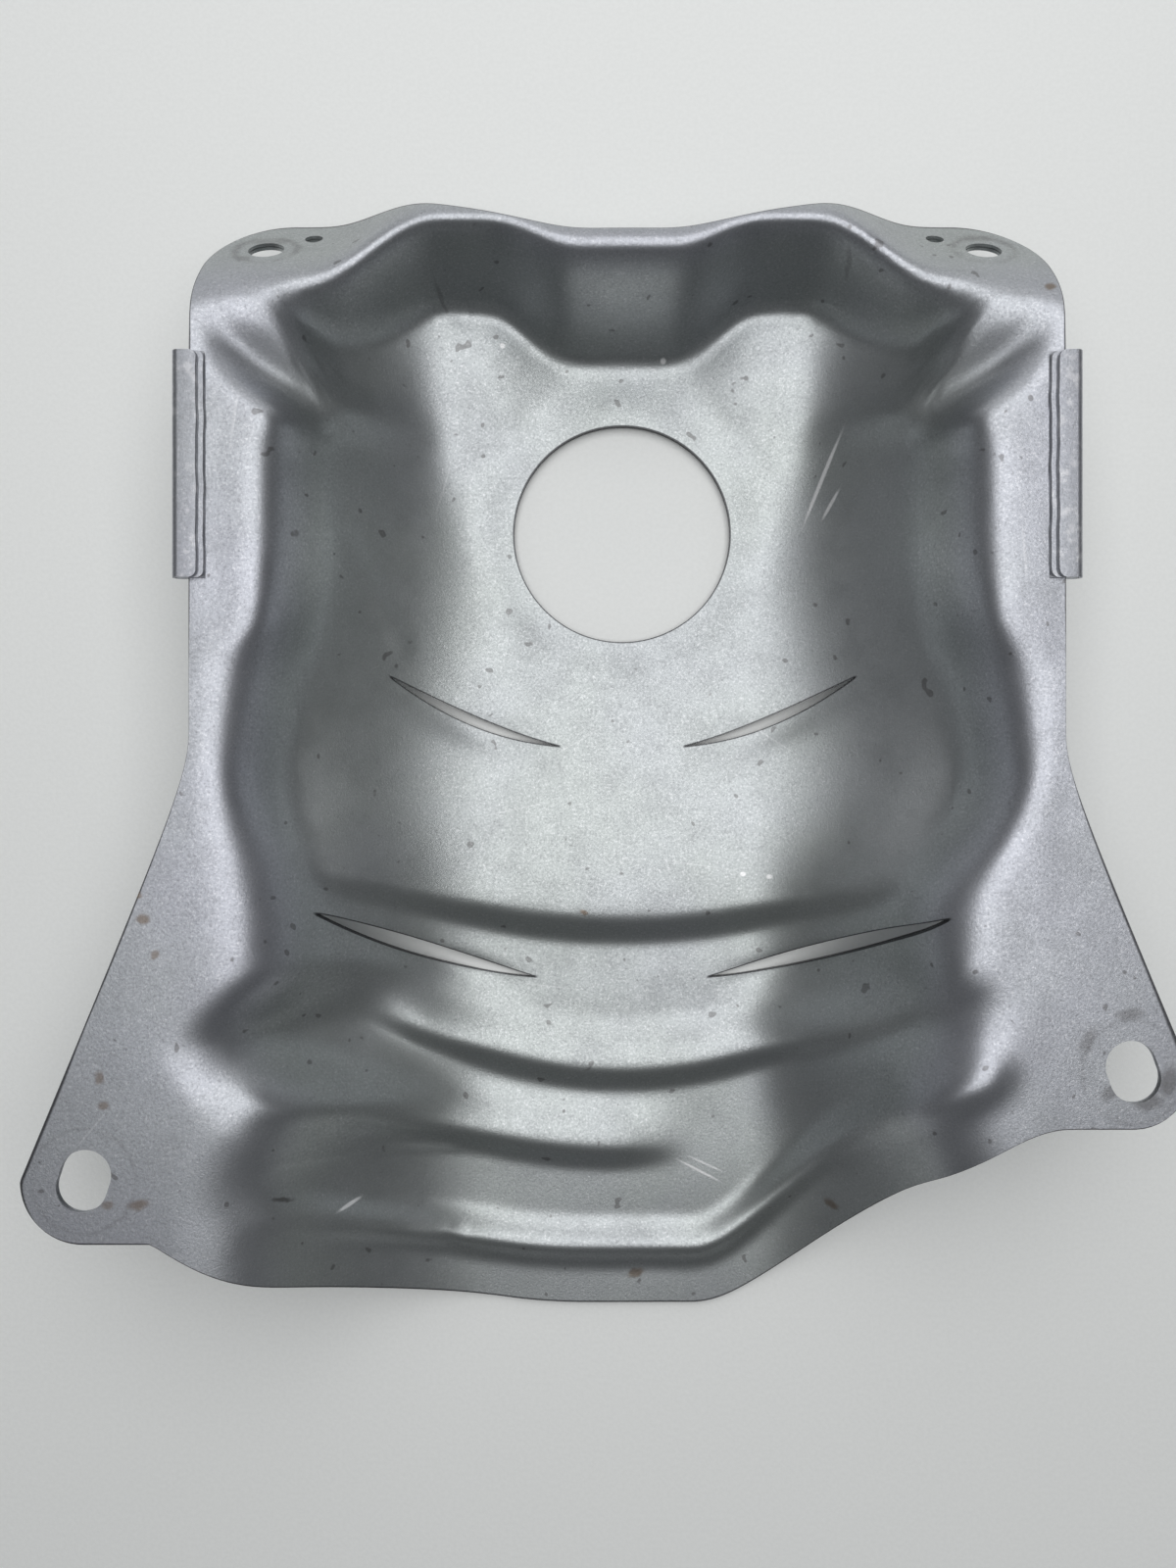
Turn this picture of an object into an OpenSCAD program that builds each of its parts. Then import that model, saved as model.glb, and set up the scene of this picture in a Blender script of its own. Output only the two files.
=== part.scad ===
// Exhaust heat shield: two thin sheets pressed into one trough and held together by hems.
// It lies hollow side up. The origin is the axis of the sensor hole, at the lowest face.
// +X is across the trough, +Y is towards the bolt flange, +Z is up out of the hollow.

/* [Sheets] */
// Thickness of one sheet
sheet_t = 0.8; // [0.6:0.1:1.2]
// Air gap between the two sheets
ply_gap = 0.2; // [0.1:0.05:0.4]

/* [Trough] */
// Height of the side flanges above the pad
trough_depth = 48; // [38:1:58]
// Half width of the flat pad below the sensor hole
pad_half = 33.5; // [32:0.5:38]
// Half width of the flat pad at the end wall
pad_top_half = 48; // [42:1:54]
// Width of the side flanges beside the sensor hole
side_flange_w = 14.5; // [12:0.5:20]
// Height of the steep wall under each side flange
wall_drop = 19; // [14:1:24]
// Height of that wall at the lower end, where most of the depth is in the curled floor
low_wall_drop = 10; // [6:1:16]
// Width of the steep wall with its rounded shoulder, seen from above
wall_run = 14; // [10:0.5:16]
// Width of the softer wall under the ears, seen from above
ear_wall_run = 22; // [17:0.5:26]
// How quickly the floor curls up beside the pad
floor_power = 1.9; // [1.5:0.1:2.4]

/* [Outline] */
// Half width over the straight side edges
side_half = 110.5; // [108:0.5:118]
// Radius of the top corners
corner_r = 20; // [12:1:26]
// Place of the top corners' arc centres
corner_y = 61.5; // [57:0.5:65]
// Place of the top edge on the centre line
top_mid_y = 71.5; // [70:0.5:78]
// Rise of the top edge towards the corners
top_arch = 10.5; // [7:0.5:14]
// Place where the side edges start to flare out
flare_y = -60; // [-70:1:-52]
// Softness of the start of the flare
flare_r = 12; // [6:1:20]
// Reach of the left ear from the centre line
left_reach = 153; // [146:1:162]
// Place of the left ear's arc centre
left_ear_y = -173; // [-180:1:-166]
// Radius of the left ear
left_ear_r = 16; // [12:1:19]
// Reach of the right ear from the centre line
right_reach = 142; // [136:1:150]
// Place of the right ear's arc centre
right_ear_y = -145.5; // [-152:1:-140]
// Radius of the right ear
right_ear_r = 14.5; // [12:0.5:17]
// Place of the bottom edge on the centre line
bottom_mid_y = -224.5; // [-232:1:-216]

/* [Bolt flange] */
// Place of the flange's ridge at the corners
ridge_y = 51.5; // [48:0.5:55]
// How far the ridge stands back at its two lobes
lobe_rise = 16; // [11:0.5:18]
// How far the ridge comes forward again on the centre line
mid_dip = 5; // [2:0.5:8]
// Bend half length of the ridge
ridge_bend = 8; // [5:0.5:9]
// Length of the end wall on the centre line, seen from above
end_run = 12; // [9:0.5:16]
// Share of that length at the two lobes, where the wall is steep
lobe_run = 0.58; // [0.45:0.01:0.9]
// How far past the ridge the end wall's rounded shoulder starts
end_ease = 6; // [3:0.5:7]
// Height of the floor at the foot of the two lobes
lobe_lift = 8; // [4:1:14]
// Diameter of the two bolt holes
bolt_d = 9.5; // [8:0.1:11]
// Distance of the bolt holes from the side edges
bolt_in = 14.5; // [11:0.5:20]
// Distance of the bolt holes from the ridge, seen from above
bolt_y = 18.5; // [15:0.5:21]
// Diameter of the two pilot holes
pilot_d = 4.8; // [3.5:0.1:6]
// Distance of the pilot holes from the side edges
pilot_in = 26; // [23:0.5:30]
// Distance of the pilot holes from the ridge, seen from above
pilot_y = 24; // [20:0.5:26]

/* [Top corners] */
// How far the trough's wall steps in at each top corner
tongue_in = 13; // [9:0.5:15]
// Place of that step's tip
tongue_y = 31; // [27:0.5:34]
// Depth of the diagonal valley at its outer end
valley_depth = 4; // [2:0.5:6]
// How much deeper the valley gets towards the trough
valley_fall = 15; // [9:0.5:17]
// Distance of the valley from the crease on the trough's side
valley_w = 7.5; // [6:0.5:9]
// Height of that crease over the valley
crease_h = 2.5; // [0.5:0.25:4]

/* [Sensor hole] */
// Diameter of the sensor hole
sensor_d = 63; // [50:1:64]

/* [Hems] */
// Place of the upper end of each hem
hem_top_y = 36; // [30:0.5:40]
// Length of each hem
hem_len = 57; // [40:1:62]
// How far each hem stands out past the side edge
hem_out = 4; // [3.2:0.1:5.5]
// Width of the outer sheet's folded tab
hem_w = 6.6; // [5:0.1:9]
// How far the inner sheet's tab shows past the outer one's
hem_show = 1.6; // [0.8:0.1:2.4]
// Corner radius of the tabs
hem_r = 2; // [1:0.1:2.4]

/* [Pocket and ribs] */
// Width of the strip between the wide pocket and the side edge
pocket_flange_w = 3.5; // [3.5:0.5:9]
// Place where the wide pocket starts
pocket_y = -38; // [-44:1:-32]
// Place of the pocket's lower step on the centre line
step_y = -115.5; // [-122:0.5:-108]
// Height of that step
step_h = 5; // [3:0.5:7]
// Rise of the step's curve at the side edge
step_sag = 31; // [22:1:38]
// How far the lower trough's left wall stands in from the side edge's line
lower_left_in = 6; // [3:0.5:10]
// How far the lower trough's right wall stands in from the side edge's line
lower_right_in = 15.5; // [11:0.5:19]
// How far the left wall bulges out beside the lower slits
left_bulge = 14; // [8:0.5:17]
// Place of the left wall's bulge
left_bulge_y = -141; // [-146:0.5:-136]
// How far the right wall bulges out beside the lower slits
right_bulge = 5; // [2:0.5:8]
// Place of the right wall's bulge
right_bulge_y = -132; // [-137:0.5:-127]
// How far the lower trough widens towards the ears
lower_widen = 11; // [6:0.5:14]
// Place of the middle rib on the centre line
rib_a_y = -156; // [-162:1:-150]
// Rise of the middle rib's curve at its ends
rib_a_sag = 17; // [12:0.5:22]
// Place of the left rib on the centre line
rib_b_y = -179; // [-184:1:-174]
// Rise of the left rib's curve at its outer end
rib_b_sag = 30; // [24:0.5:35]
// Height of the ribs
rib_h = 4; // [2.5:0.5:5.5]
// Distance of the edge bead from the bottom edge
bead_in = 17.5; // [15:0.5:20]
// Half width of the edge bead
bead_half = 7; // [5:0.5:8.5]
// Height of the edge bead
bead_h = 4; // [2:0.5:5.5]

/* [Vent slits] */
// Place of the two upper slits on the centre line
upper_slit_y = -63.5; // [-68:0.5:-59]
// Rise of the upper slits' curve at their outer ends
upper_slit_sag = 21; // [16:0.5:26]
// Distance of the upper slits' outer ends from the centre line
upper_slit_end = 66; // [58:0.5:70]
// Length of each upper slit, measured across the part
upper_slit_len = 48; // [40:0.5:52]
// Place of the two lower slits on the centre line
lower_slit_y = -131.5; // [-136:0.5:-127]
// Rise of the lower slits' curve at their outer ends
lower_slit_sag = 24; // [19:0.5:29]
// Distance of the lower slits' outer ends from the centre line
lower_slit_end = 83; // [75:0.5:87]
// Length of each lower slit, measured across the part
lower_slit_len = 58; // [50:0.5:62]
// Width of the two upper slits at their middle
upper_slit_w = 3; // [1:0.1:4]
// Width of the two lower slits at their middle
lower_slit_w = 4.8; // [2:0.1:5.5]
// How far each slit's lower lip is pressed down
lip_press = 2; // [0:0.25:3]

/* [Ear slots] */
// Width of the ear slots
slot_w = 13; // [10:0.5:15]
// End to end length of the ear slots
slot_len = 16; // [13:0.5:20]
// Lean of the left ear's slot, in degrees
left_slot_lean = 18; // [8:1:28]
// Lean of the right ear's slot, in degrees
right_slot_lean = 20; // [10:1:30]

/* [Mesh] */
// Share of the finest spacing of the pressed surface
fineness = 1; // [0.6:0.05:1.1]

/* [Hidden] */

inner_colour = [0.66, 0.66, 0.71];
outer_colour = [0.6, 0.6, 0.65];
stack_t = 2 * sheet_t + ply_gap;
flange_z = trough_depth + stack_t;
trough_half = side_half - side_flange_w;
pocket_half = side_half - pocket_flange_w;
bolt_x = side_half - bolt_in;
pilot_x = side_half - pilot_in;
// The ridge is level outside end_flat_x and stands back inside end_lobe_x
end_flat_x = side_half - 28.5;
end_lobe_x = end_flat_x - 32;
// The ridge comes forward again between these distances from the centre line
dip_from_x = 36;
dip_to_x = 12;
// Direction of the top corners' diagonal crease, seen from above
crease_run = 0.665;
crease_rise = 0.747;
crease_slope = crease_run / crease_rise;
// Width of the flange's drop into the diagonal valley
valley_drop = 7;
// The pad narrows between these places
pad_wide_y = 40;
pad_narrow_y = -15;
// The top edge climbs between these distances from the centre line
arch_from_x = 8;
arch_to_x = 72;
// The bottom edge's level ears start at these distances from the centre line
left_level_x = 120;
right_level_x = 112;
ear_flat_y = left_ear_y - left_ear_r;
right_flat_y = right_ear_y - right_ear_r;
// Distances from the centre line at which the curves' rises are measured
step_end_x = 110;
rib_a_end_x = 65;
rib_b_end_x = 100;
// How far under the side edge the hems start, and how far the cutters reach past the sheets
hem_foot = 2;
cut_margin = 12;
arc_45 = 1 - sqrt(0.5);
probe = 0.4;

// Small helpers

function clamp01(c) = max(0, min(1, c));

// Smooth step from 0 at a to 1 at b
function ramp(a, b, x) = let (c = clamp01((x - a) / (b - a))) c * c * (3 - 2 * c);

function mix(a, b, w) = a + (b - a) * w;

// Round bend of a line that is flat before 0 and falls at 45 degrees after it
function bend(f, r) = f <= -r ? 0 : f >= r ? f : (f + r) * (f + r) / (4 * r);

// Outline, seen from above. side is -1 for the left and 1 for the right.

function ear_reach(side) = side < 0 ? left_reach : right_reach;
function ear_y(side) = side < 0 ? left_ear_y : right_ear_y;
function ear_r(side) = side < 0 ? left_ear_r : right_ear_r;

function flare(y) = let (s = max(0, flare_y - y)) sqrt(s * s + flare_r * flare_r) - flare_r;

// Distance of the side edge from the centre line at a height y on the plan
function edge_x(y, side) =
    let (top = y - corner_y, low = ear_y(side) - y, r = ear_r(side))
    top > 0 ? side_half - corner_r + sqrt(max(0, corner_r * corner_r - top * top))
    : low > 0 ? ear_reach(side) - r + sqrt(max(0, r * r - low * low))
    : side_half + (ear_reach(side) - side_half) * flare(y) / flare(ear_y(side));

// Place of the top edge at a distance x from the centre line
function top_edge_y(x) =
    let (a = abs(x), past = a - (side_half - corner_r), arch = top_mid_y + top_arch)
    past > 0 ? corner_y + sqrt(max(0, corner_r * corner_r - past * past))
    : top_mid_y + top_arch * ramp(arch_from_x, arch_to_x, a)
      + (corner_y + corner_r - arch) * ramp(arch_to_x, side_half - corner_r, a);

// Place of the bottom edge: level ears, a low middle and an S-shaped climb on the right
function bottom_edge_y(x) =
    let (past_l = -x - (left_reach - left_ear_r), past_r = x - (right_reach - right_ear_r))
    past_l > 0 ? left_ear_y - sqrt(max(0, left_ear_r * left_ear_r - past_l * past_l))
    : past_r > 0 ? right_ear_y - sqrt(max(0, right_ear_r * right_ear_r - past_r * past_r))
    : x < 0 ? mix(bottom_mid_y, ear_flat_y, pow(clamp01((10 + x) / (10 - left_level_x)), 2))
    : mix(bottom_mid_y, right_flat_y, ramp(20, right_level_x, x));

// Lines across the trough that bow towards the viewer's side

function step_line(x) = step_y + step_sag * pow(x / step_end_x, 2);
function rib_a_line(x) = rib_a_y + rib_a_sag * pow(x / rib_a_end_x, 2);
function rib_b_line(x) = rib_b_y + rib_b_sag * pow(x / rib_b_end_x, 2);
function upper_slit_line(x) = upper_slit_y + upper_slit_sag * pow(x / upper_slit_end, 2);
function lower_slit_line(x) = lower_slit_y + lower_slit_sag * pow(x / lower_slit_end, 2);
function ridge_line(x) =
    let (a = abs(x))
    ridge_y + lobe_rise * ramp(end_flat_x, end_lobe_x, a) - mid_dip * ramp(dip_from_x, dip_to_x, a);

// 1 on a line and 0 at a distance half from it
function bump(d, half) = ramp(half, 0, abs(d));

// Half width of the upper trough. At the top corners it steps in to a tip and follows the crease out.
function upper_wall(y) =
    trough_half - tongue_in * ramp(tongue_y - 19, tongue_y - 2, y)
    + crease_slope * bend(min(y, ridge_y) - tongue_y, 3);

// Half width of the lower trough, with its bulges
function lower_wall(y, side) =
    side_half + lower_widen * ramp(-148, -184, y)
    - (side < 0 ? lower_left_in - left_bulge * bump(y - left_bulge_y, 21)
        : lower_right_in - right_bulge * bump(y - right_bulge_y, 16));

// Half width of the trough at the flange level
function wall_x(y, side) =
    let (pocket = ramp(pocket_y + 8, pocket_y - 8, y), lower = ramp(step_y + 50, step_y + 12, y))
    mix(mix(upper_wall(y), pocket_half, pocket), lower_wall(y, side), lower);

// Distance of a wall's foot from the centre line. It changes more slowly than the wall's top.
function foot_x(y, w) =
    let (soft = mix(trough_half, pocket_half, ramp(pocket_y + 32, pocket_y - 38, y)) - wall_run)
    min(w - 5, mix(soft, w - ear_wall_run, ramp(step_y + 50, step_y + 5, y)));

function drop_at(y) = mix(wall_drop, low_wall_drop, ramp(step_y, step_y - 60, y));

// Share of a wall's height at a share c of its width, with a round shoulder at the top
function shoulder(c) = pow(clamp01(c), 2.4);

// The same for the end wall, which is also round at its foot
function end_share(x, y) =
    let (c = clamp01((ridge_line(x) - y + end_ease) / (end_length(x) + end_ease))) ramp(0, 1, pow(c, 1.2));

function pad_x(y) = mix(pad_half, pad_top_half, ramp(pad_narrow_y, pad_wide_y, y));

// Length of the end wall at a distance x from the centre line
function end_length(x) = end_run * mix(1, lobe_run, ramp(16, 38, abs(x)));

// Depth of the trough under the side flanges
function trough(x, y) =
    let (a = abs(x),
         w = wall_x(y, x < 0 ? -1 : 1),
         foot = foot_x(y, w),
         pad = pad_x(y),
         curl = pow(clamp01((a - pad) / (foot - pad)), floor_power),
         off_seat = ramp(pad_half, pad_half + 16, norm([x, y])),
         lift = lobe_lift * ramp(12, 44, a) * ramp(62, 6, ridge_line(x) - y) * off_seat,
         wall = drop_at(y) * shoulder((w - a) / (w - foot)))
    (wall + (trough_depth - drop_at(y) - lift) * (1 - curl)) * end_share(x, y);

// Depth of the valley across each top corner: the flange drops into it, it falls towards the trough,
// and narrows, and its crease stands over it on the trough's side
function valley(x, y) =
    let (px = abs(x) - (trough_half - tongue_in), py = y - tongue_y,
         off = crease_rise * px - crease_run * py, along = crease_run * px + crease_rise * py,
         t = clamp01((22 - along) / 26), w = valley_w * mix(1, 0.5, ramp(0.3, 1, t)))
    ((valley_depth + valley_fall * t) * ramp(w + valley_drop, w, off) - crease_h * (1 - t) * ramp(w, 0, off))
    * ramp(29, 21, along) * ramp(-30, -16, along) * ramp(-13, -3, off);

// 1 well inside the trough, 0 at its walls
function inside(x, y) = let (w = wall_x(y, x < 0 ? -1 : 1)) ramp(w - 4, w - 34, abs(x));

// Floor lift before the step, and the step itself
function pocket_lift(x, y) =
    let (d = y - step_line(x)) step_h * inside(x, y) * ramp(75, 7, d) * ramp(-4, 4, d);

// A rib that climbs gently and drops away steeply on its lower side
function rib(d, across) = rib_h * across * ramp(15, 2, d) * ramp(-6, 0, d);

function bead(x, y) =
    let (slope = (bottom_edge_y(x + 1) - bottom_edge_y(x - 1)) / 2,
         d = (y - bottom_edge_y(x)) / sqrt(1 + slope * slope) - bead_in,
         across = ramp(-100, -88, x) * ramp(99, 88, x))
    bead_h * across * bump(d, bead_half);

// Each slit's lower lip goes down, most at its middle
function lip(x, y, line, end, length) =
    let (d = y - line)
    lip_press * bump(abs(x) - (end - length / 2), length * 0.55) * ramp(2, -1, d) * ramp(-9, -2, d);

// Height of the visible face over a point of the plan
function face_z(x, y) =
    flange_z - max(trough(x, y), valley(x, y)) + pocket_lift(x, y)
    + rib(y - rib_a_line(x), ramp(-78, -55, x) * ramp(95, 75, x))
    + rib(y - rib_b_line(x), ramp(-106, -92, x) * ramp(22, -8, x))
    + bead(x, y)
    - lip(x, y, upper_slit_line(x), upper_slit_end, upper_slit_len)
    - lip(x, y, lower_slit_line(x), lower_slit_end, lower_slit_len)
    - bend(y - ridge_line(x), ridge_bend);

function face_point(x, y) = [x, y, face_z(x, y)];

// Unit normal of the visible face
function face_normal(x, y) =
    let (gx = (face_z(x + probe, y) - face_z(x - probe, y)) / (2 * probe),
         gy = (face_z(x, y + probe) - face_z(x, y - probe)) / (2 * probe),
         n = [-gx, -gy, 1])
    n / norm(n);

// Point at a depth under the visible face, measured square to it
function sheet_point(p, depth) = face_point(p[0], p[1]) - depth * face_normal(p[0], p[1]);

// Grid over the plan. Rows run from one guide line to the next: 0 is the top edge, 1 the flange's ridge,
// 2 the foot of the end wall, 3 the pocket's step and 4 the bottom edge. Columns follow the side walls.

function steps(a, b, n) =
    let (count = max(1, round(n * fineness))) [for (i = [1:count]) mix(a, b, i / count)];

// Share of the way from the step to the bottom edge on the centre line
function below_step(y) = 3 + clamp01((step_y - y) / (step_y - bottom_mid_y));

rows = concat([0], steps(0, 0.8, 2), steps(0.8, 1.5, 4), steps(1.5, 2, 2), steps(2, 2.2, 4),
    steps(2.2, 2.55, 3), steps(2.55, 2.9, 5), steps(2.9, 3, 3),
    steps(3, below_step(rib_a_y + 8), 5),
    steps(below_step(rib_a_y + 8), below_step(rib_a_y - 7), 4),
    steps(below_step(rib_a_y - 7), below_step(rib_b_y - 7), 5),
    steps(below_step(rib_b_y - 7), below_step(bottom_mid_y + bead_in + bead_half), 2),
    steps(below_step(bottom_mid_y + bead_in + bead_half), below_step(bottom_mid_y + bead_in - bead_half), 6),
    steps(below_step(bottom_mid_y + bead_in - bead_half), 4, 2));

half_columns = concat([0], steps(0, pad_half / trough_half, 3), steps(pad_half / trough_half, 0.82, 4),
    steps(0.82, 0.92, 2), steps(0.92, 1, 3), steps(1, 2, 3));
columns = concat([for (i = [len(half_columns) - 1:-1:1]) -half_columns[i]], half_columns);

// Where each guide line meets the side edge
function guide_end_y(guide, side) =
    guide == 0 ? corner_y + corner_r * sqrt(0.5)
    : guide == 1 ? ridge_y
    : guide == 2 ? ridge_y - end_run * lobe_run
    : guide == 3 ? step_line(step_end_x)
    : ear_y(side) - ear_r(side) * sqrt(0.5);

// A guide line's place at a share q of the way from the centre line to the side edge
function guide_y(guide, q, side) =
    guide == 0 ? top_edge_y(q * (side_half - corner_r * arc_45))
    : guide == 1 ? ridge_line(q * side_half)
    : guide == 2 ? ridge_line(q * side_half) - end_length(q * side_half)
    : guide == 3 ? step_line(q * step_end_x)
    : bottom_edge_y(q * (ear_reach(side) - ear_r(side) * arc_45));

// Place of a row at a share q of the way from the centre line to the side edge
function row_y(row, q, side) =
    let (above = min(3, floor(row))) mix(guide_y(above, q, side), guide_y(above + 1, q, side), row - above);

function row_end_y(row, side) =
    let (above = min(3, floor(row))) mix(guide_end_y(above, side), guide_end_y(above + 1, side), row - above);

// Where a row meets the trough's wall, found in a few rounds from a first place y
function row_wall(row, side, edge, y, rounds = 4) =
    let (w = min(wall_x(y, side), edge - 3))
    rounds == 0 ? w : row_wall(row, side, edge, row_y(row, side * w / edge, side), rounds - 1);

// Points of a row, from the left side edge to the right one
function row_points(row) =
    let (ends = [for (side = [-1, 1]) edge_x(row_end_y(row, side), side)],
         walls = [for (k = [0, 1]) row_wall(row, 2 * k - 1, ends[k], row_end_y(row, 2 * k - 1))])
    [for (column = columns)
        let (k = column < 0 ? 0 : 1, c = abs(column),
             x = (2 * k - 1) * (c < 1 ? c * walls[k] : mix(walls[k], ends[k], c - 1)))
        [x, row_y(row, x / ends[k], 2 * k - 1)]];

// A sheet between two offsets below the visible face
module pressed_sheet(top, bottom) {
    plan = [for (row = rows) row_points(row)];
    nr = len(rows);
    nc = len(columns);
    count = nr * nc;
    faces_up = [for (line = plan) for (p = line) sheet_point(p, top)];
    faces_down = [for (line = plan) for (p = line) sheet_point(p, bottom)];
    rim = concat([for (j = [0:nc - 1]) j], [for (i = [1:nr - 1]) i * nc + nc - 1],
        [for (j = [nc - 2:-1:0]) (nr - 1) * nc + j], [for (i = [nr - 2:-1:1]) i * nc]);
    quads = [for (i = [0:nr - 2]) for (j = [0:nc - 2])
        let (k = i * nc + j) [k, k + 1, k + nc + 1, k + nc]];
    polyhedron(points = concat(faces_up, faces_down), faces = concat(
        [for (q = quads) for (t = split(q)) t],
        [for (q = quads) for (t = split(q)) [for (k = [2:-1:0]) t[k] + count]],
        [for (k = [0:len(rim) - 1]) let (a = rim[k], b = rim[(k + 1) % len(rim)])
            for (t = [[a, a + count, b + count], [a, b + count, b]]) t]));
}

function split(q) = [[q[0], q[1], q[2]], [q[0], q[2], q[3]]];

// Outline of one slit along a line at y + sag * (x / end)^2, widest near its outer end
module slit_shape(y, sag, end, length, width) {
    n = 10;
    line = [for (i = [0:n]) let (x = end - length * i / n) [x, y + sag * pow(x / end, 2)]];
    function half(i) = [0, width / 2 * sin(180 * pow(i / n, 0.8))];
    polygon(concat([for (i = [0:n]) line[i] + half(i)], [for (i = [n - 1:-1:1]) line[i] - half(i)]));
}

module slits() {
    for (side = [-1, 1]) scale([side, 1]) {
        slit_shape(upper_slit_y, upper_slit_sag, upper_slit_end, upper_slit_len, upper_slit_w);
        slit_shape(lower_slit_y, lower_slit_sag, lower_slit_end, lower_slit_len, lower_slit_w);
    }
}

module ear_slot(side) {
    lean = side < 0 ? -left_slot_lean : right_slot_lean;
    ends = max(0.1, slot_len - slot_w) / 2;
    translate([side * (ear_reach(side) - ear_r(side)), ear_y(side)]) rotate(lean) hull() {
        translate([0, ends]) circle(d = slot_w, $fn = 48);
        translate([0, -ends]) circle(d = slot_w, $fn = 48);
    }
}

// Everything that is cut through both sheets
module cuts() {
    translate([0, 0, -cut_margin]) cylinder(d = sensor_d, h = 2 * cut_margin, $fn = 96);
    translate([0, 0, -cut_margin]) linear_extrude(flange_z + 2 * cut_margin) {
        slits();
        ear_slot(-1);
        ear_slot(1);
    }
    for (side = [-1, 1]) {
        flange_cut(side * bolt_x, bolt_y, bolt_d);
        flange_cut(side * pilot_x, pilot_y, pilot_d);
    }
}

// A hole square to the folded-down bolt flange
module flange_cut(x, past_ridge, d) {
    y = ridge_y + past_ridge;
    translate([x, y, face_z(x, y)]) rotate([-45, 0, 0])
        cylinder(d = d, h = 2 * cut_margin, center = true, $fn = 48);
}

// Folded tab along a straight side edge. The section is drawn across the edge and pulled along it,
// and the tab's two inner corners are rounded.
module hem(side, out, layer, fold_z, back) {
    z0 = flange_z - layer - sheet_t;
    tip = side_half + out - back;
    scale([side, 1, 1]) intersection() {
        translate([0, hem_top_y, 0]) rotate([90, 0, 0]) linear_extrude(hem_len)
            hem_section(side_half - hem_foot, side_half + out, z0, fold_z, tip);
        translate([0, 0, z0 - 1]) linear_extrude(fold_z - z0 + 2) hem_plan(min(tip, side_half - hem_foot));
    }
}

module hem_plan(from_x) {
    low = hem_top_y - hem_len;
    hull() {
        for (y = [low + hem_r, hem_top_y - hem_r]) translate([from_x + hem_r, y]) circle(hem_r, $fn = 24);
        translate([side_half + 1, low]) square([hem_out + 2, hem_len]);
    }
}

module hem_section(from_x, to_x, z0, z1, tip_x) {
    r = (z1 - z0) / 2;
    difference() {
        union() {
            translate([from_x, z0]) square([to_x - r - from_x, sheet_t]);
            translate([tip_x, z1 - sheet_t]) square([to_x - r - tip_x, sheet_t]);
            translate([to_x - r, z0 + r]) circle(r, $fn = 32);
        }
        translate([to_x - r, z0 + r]) circle(max(0.01, r - sheet_t), $fn = 32);
        translate([from_x - 1, z0 + sheet_t]) square([to_x - r - from_x + 1, z1 - z0 - 2 * sheet_t]);
    }
}

module inner_sheet() {
    color(inner_colour) difference() {
        union() {
            pressed_sheet(0, sheet_t);
            for (side = [-1, 1])
                hem(side, hem_out - sheet_t - ply_gap, 0, flange_z + sheet_t + ply_gap / 2,
                    hem_w + hem_show - sheet_t - ply_gap);
        }
        cuts();
    }
}

module outer_sheet() {
    color(outer_colour) difference() {
        union() {
            pressed_sheet(sheet_t + ply_gap, stack_t);
            for (side = [-1, 1])
                hem(side, hem_out, sheet_t + ply_gap, flange_z + 2 * sheet_t + 1.5 * ply_gap, hem_w);
        }
        cuts();
    }
}

inner_sheet();
outer_sheet();
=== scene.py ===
"""Looks of the exhaust heat shield: two pressed sheets with hems, worn steel, floor, light and camera."""
import math

import bmesh
import bpy
import numpy as np
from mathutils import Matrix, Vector
from mathutils.kdtree import KDTree


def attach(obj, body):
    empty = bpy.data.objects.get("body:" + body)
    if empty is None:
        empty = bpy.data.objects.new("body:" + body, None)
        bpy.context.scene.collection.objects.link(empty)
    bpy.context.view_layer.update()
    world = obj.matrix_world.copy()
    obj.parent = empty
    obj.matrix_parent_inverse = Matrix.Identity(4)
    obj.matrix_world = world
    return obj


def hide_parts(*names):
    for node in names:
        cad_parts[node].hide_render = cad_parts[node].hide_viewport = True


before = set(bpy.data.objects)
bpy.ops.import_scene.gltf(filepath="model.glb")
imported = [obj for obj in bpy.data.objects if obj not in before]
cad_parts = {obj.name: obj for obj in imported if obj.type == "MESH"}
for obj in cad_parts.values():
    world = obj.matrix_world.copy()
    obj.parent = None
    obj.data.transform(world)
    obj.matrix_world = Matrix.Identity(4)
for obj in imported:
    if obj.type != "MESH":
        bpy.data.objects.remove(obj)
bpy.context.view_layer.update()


MM = 0.001

# Camera: straight above the trough, as a phone held over the part
CAMERA_X = -9.9
CAMERA_Y = -72.9
CAMERA_HEIGHT = 346.0
LENS = 27.0
SENSOR = 36.0

# Sizes of the part, in millimetres, as its construction states them, apart from LOBE_RUN
SHEET_T = 0.8
PLY_GAP = 0.2
TROUGH_DEPTH = 48.0
PAD_HALF = 33.5
PAD_TOP_HALF = 48.0
PAD_NARROW_Y = -15.0
PAD_WIDE_Y = 40.0
WALL_DROP = 19.0
LOW_WALL_DROP = 10.0
WALL_RUN = 14.0
EAR_WALL_RUN = 22.0
FLOOR_POWER = 1.9
SIDE_HALF = 110.5
TROUGH_HALF = SIDE_HALF - 14.5
POCKET_HALF = SIDE_HALF - 3.5
CORNER_R = 20.0
CORNER_Y = 61.5
TOP_MID_Y = 71.5
TOP_ARCH = 10.5
ARCH_FROM_X = 8.0
ARCH_TO_X = 72.0
FLARE_Y = -60.0
FLARE_R = 12.0
EAR_REACH = {-1: 153.0, 1: 142.0}
EAR_Y = {-1: -173.0, 1: -145.5}
EAR_R = {-1: 16.0, 1: 14.5}
BOTTOM_MID_Y = -224.5
LEVEL_FROM_X = {-1: 10.0, 1: 20.0}
LEVEL_X = {-1: 120.0, 1: 112.0}
RIDGE_Y = 51.5
LOBE_RISE = 16.0
MID_DIP = 5.0
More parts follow.
